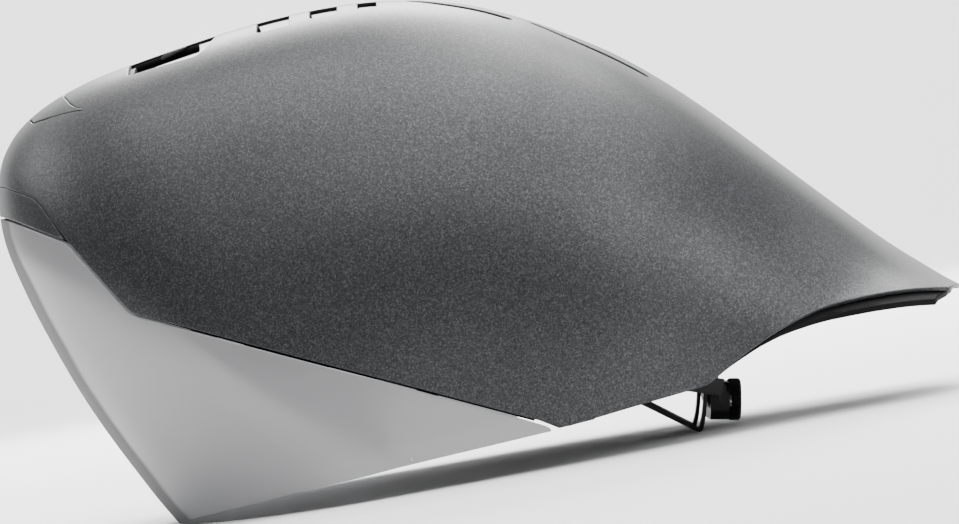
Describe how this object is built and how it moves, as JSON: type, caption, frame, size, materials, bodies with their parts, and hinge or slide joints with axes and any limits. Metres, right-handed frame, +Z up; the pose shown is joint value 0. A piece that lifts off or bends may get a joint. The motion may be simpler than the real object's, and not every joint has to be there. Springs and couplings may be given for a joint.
{
  "type": "time trial helmet",
  "caption": "Long-tailed aero cycling helmet with smooth closed shell, top vents, wrap-around magnetic eye shield, foam liner, pads, stowed straps and a dial-tensioned rear fit cradle.",
  "frame": {"origin": "on the resting plane, under the middle of the bounding box, on the centre plane", "axes": "+X to the tail (front faces -X), +Y to the wearer's right, +Z up, standing on the shield's lower tip and the fit cradle's corners"},
  "size_m": [0.3354, 0.2046, 0.1738],
  "materials": {
    "shell_black": "matte black lacquer with fine metallic flake",
    "trim_black": "moulded matte",
    "liner_foam": "moulded bead foam",
    "steel": "plated",
    "lens": "tinted clear, hard coated",
    "magnet": "nickel plated",
    "pad_cloth": "knit over foam",
    "webbing": "woven webbing",
    "fit_plastic": "glass-filled nylon",
    "dial_rubber": "soft-touch ribbed"
  },
  "bodies": {
    "helmet": {"outer_shell": "shell_black", "forehead_insert": "shell_black", "brow_panel": "shell_black", "tail_trim": "trim_black", "eps_liner": "liner_foam", "vent_spine": "trim_black", "front_scoop": "trim_black", "magnet_keepers": "steel", "brow_pad": "pad_cloth", "crown_pads": "pad_cloth", "side_pads": "pad_cloth", "front_strap_left": "webbing", "front_strap_right": "webbing", "rear_strap_left": "webbing", "rear_strap_right": "webbing", "strap_divider_left": "fit_plastic", "strap_divider_right": "fit_plastic", "chin_strap_left": "webbing", "chin_strap_right": "webbing", "buckle_female": "fit_plastic", "strap_anchors": "fit_plastic", "temple_anchors": "fit_plastic", "fit_belt_left": "fit_plastic", "fit_belt_right": "fit_plastic", "height_track": "fit_plastic"},
    "shield": {"shield_lens": "lens", "shield_tabs": "trim_black", "shield_magnets": "magnet"},
    "carriage": {"height_carriage": "fit_plastic", "hinge_pin": "steel"},
    "cradle_unit": {"stem": "fit_plastic", "cradle": "fit_plastic", "cradle_housing": "fit_plastic", "housing_cover": "fit_plastic", "cover_screws": "steel"},
    "dial_unit": {"fit_dial": "dial_rubber", "dial_spindle": "steel", "pinion": "fit_plastic"},
    "left_rack": {"rack_left": "fit_plastic"},
    "right_rack": {"rack_right": "fit_plastic"},
    "buckle_tongue": {"buckle_male": "fit_plastic"}
  },
  "joints": [
    {"name": "shield_slide", "type": "slide", "parent": "helmet", "child": "shield", "axis": [-0.1766, 0, -0.9843], "range_m": [0, 0.1]},
    {"name": "fit_height", "type": "slide", "parent": "helmet", "child": "carriage", "axis": [-0.1766, 0, -0.9843], "range_m": [0, 0.01], "deforming": ["fit_belt_left", "fit_belt_right"]},
    {"name": "cradle_swing", "type": "hinge", "parent": "carriage", "child": "cradle_unit", "pos_m": [0.06375, 0, 0.03532], "axis": [0, 1, 0], "range_deg": [0, 14], "deforming": ["fit_belt_left", "fit_belt_right"]},
    {"name": "dial_turn", "type": "hinge", "parent": "cradle_unit", "child": "dial_unit", "pos_m": [0.07925, 0, 0.009], "axis": [-0.9843, 0, 0.1766], "range_deg": [0, 90]},
    {"name": "rack_left_slide", "type": "slide", "parent": "cradle_unit", "child": "left_rack", "axis": [0, 1, 0], "range_m": [0, 0.0062]},
    {"name": "rack_right_slide", "type": "slide", "parent": "cradle_unit", "child": "right_rack", "axis": [0, -1, 0], "range_m": [0, 0.0062]},
    {"name": "buckle_release", "type": "slide", "parent": "helmet", "child": "buckle_tongue", "axis": [-0.0604, 0.9397, -0.3366], "range_m": [0, 0.014], "deforming": ["chin_strap_right"]}
  ],
  "couplings": [
    {"joint": "dial_turn", "follows": "cradle_swing", "ratio": 6},
    {"joint": "rack_left_slide", "follows": "cradle_swing", "m_per_rad": 0.024},
    {"joint": "rack_right_slide", "follows": "cradle_swing", "m_per_rad": 0.024}
  ]
}
